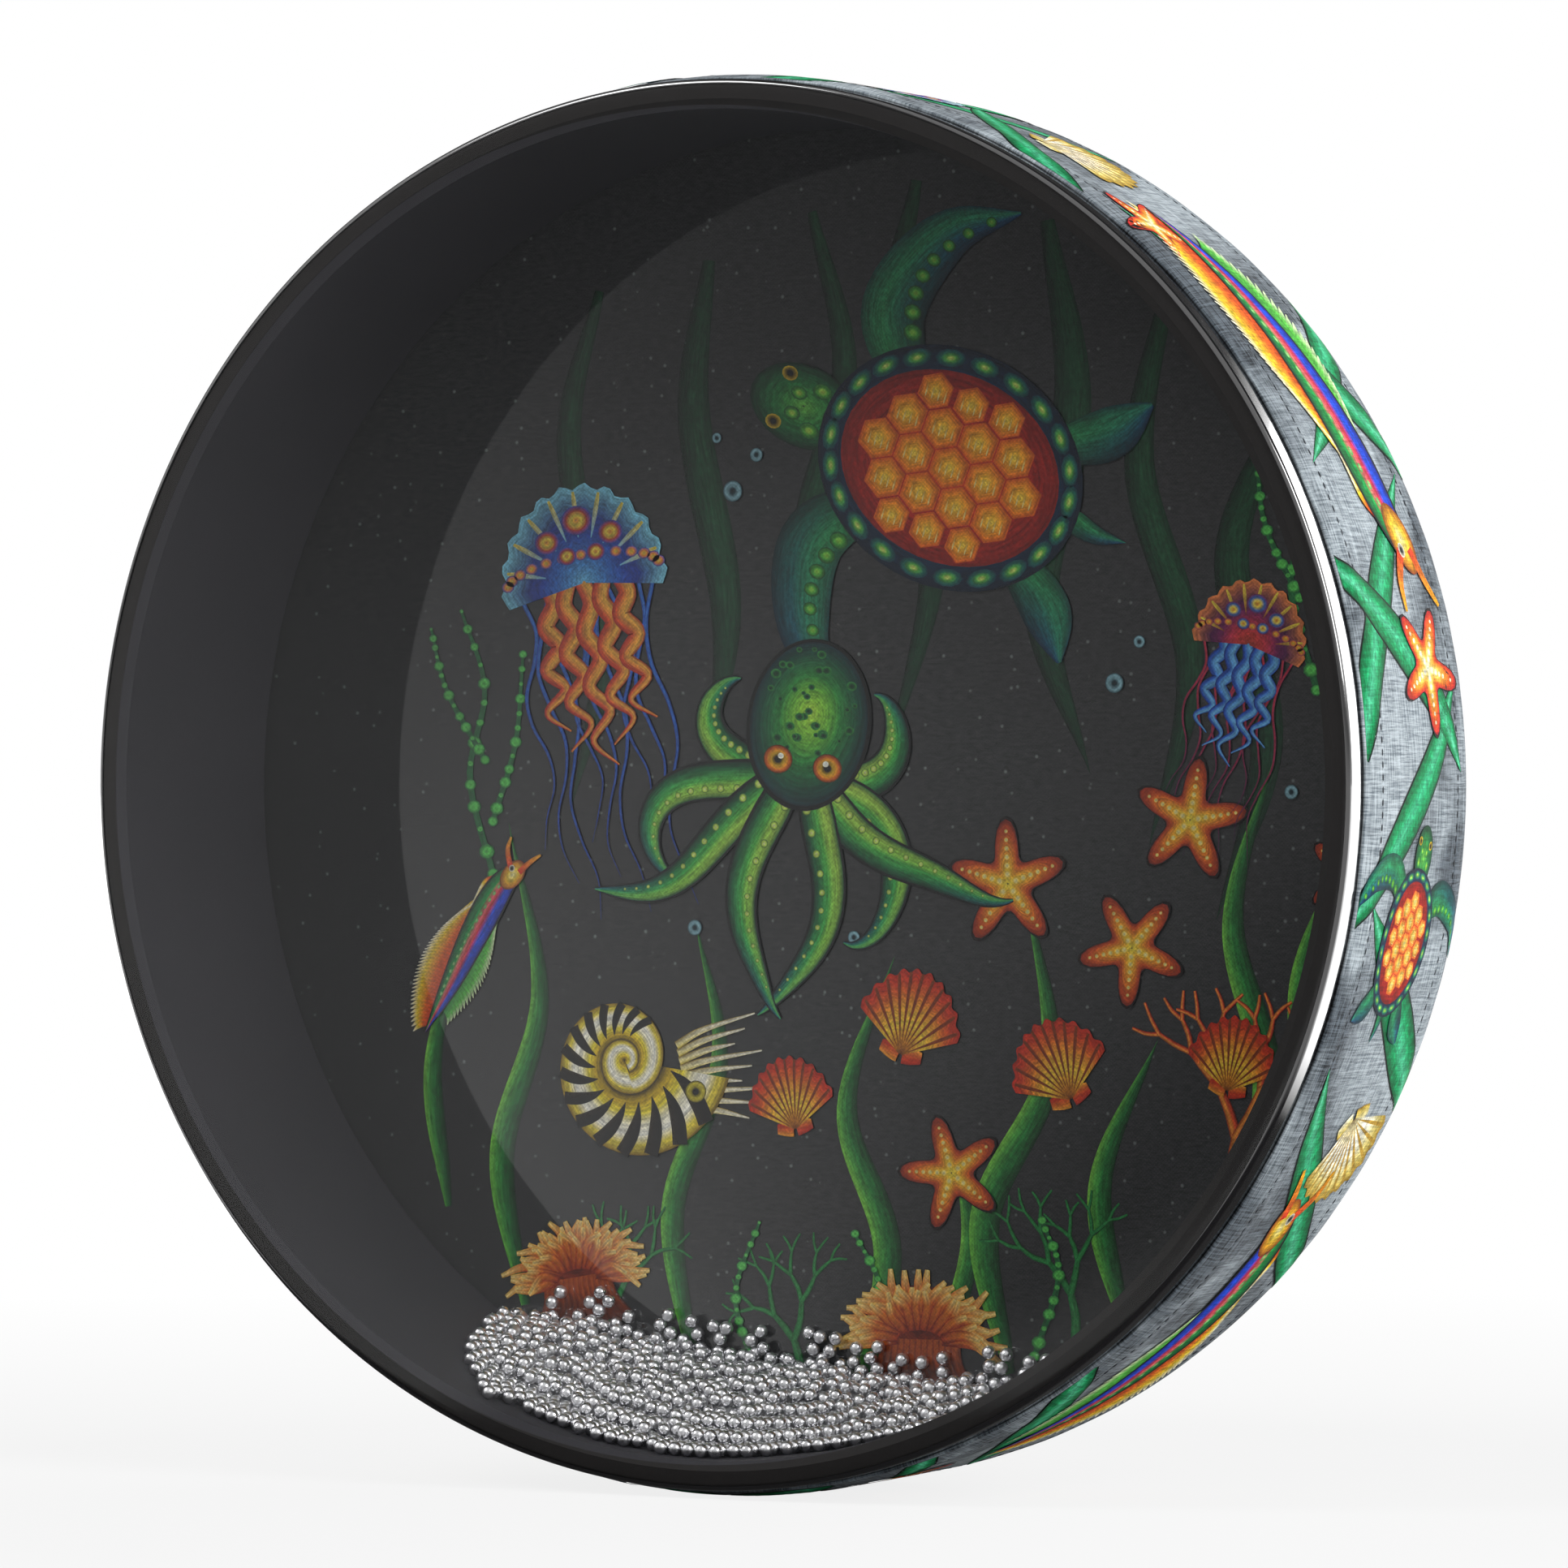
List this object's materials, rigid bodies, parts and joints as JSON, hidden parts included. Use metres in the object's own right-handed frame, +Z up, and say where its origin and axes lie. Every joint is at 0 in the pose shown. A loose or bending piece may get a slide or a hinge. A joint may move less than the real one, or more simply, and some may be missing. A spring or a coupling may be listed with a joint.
{
  "type": "ocean drum",
  "caption": "Shallow round drum with a clear film head, a printed back head, a cloth-covered hoop and loose steel balls inside.",
  "frame": {"origin": "on the floor under the middle of the drum as it stands on its rim", "axes": "+X across the drum, +Y from the clear front head to the printed back head, +Z up"},
  "size_m": [0.3084, 0.0636, 0.3084],
  "materials": {
    "hoop_ply": "dark stained ply, satin",
    "clear_film": "clear glossy film",
    "back_film": "film over dark print, satin",
    "printed_cloth": "printed woven cloth",
    "adhesive": "dark contact adhesive",
    "cover_cloth": "printed woven cloth",
    "steel_shot": "polished steel balls"
  },
  "bodies": {
    "drum": {"shell": "hoop_ply", "clear_head": "clear_film", "back_head": "back_film", "back_print": "printed_cloth", "front_adhesive": "adhesive", "back_adhesive": "adhesive", "cover_adhesive": "adhesive", "cloth_cover": "cover_cloth"},
    "ball_load": {"ball_heap": "steel_shot", "heap_balls": "steel_shot"},
    "rolling_balls": {"loose_balls": "steel_shot"}
  },
  "joints": [
    {"name": "load_round_hoop", "type": "hinge", "parent": "drum", "child": "ball_load", "pos_m": [0, 0, 0.1542], "axis": [0, 1, 0], "continuous": true},
    {"name": "balls_across_head", "type": "slide", "parent": "ball_load", "child": "rolling_balls", "axis": [0, 0, 1], "range_m": [0, 0.254]}
  ]
}
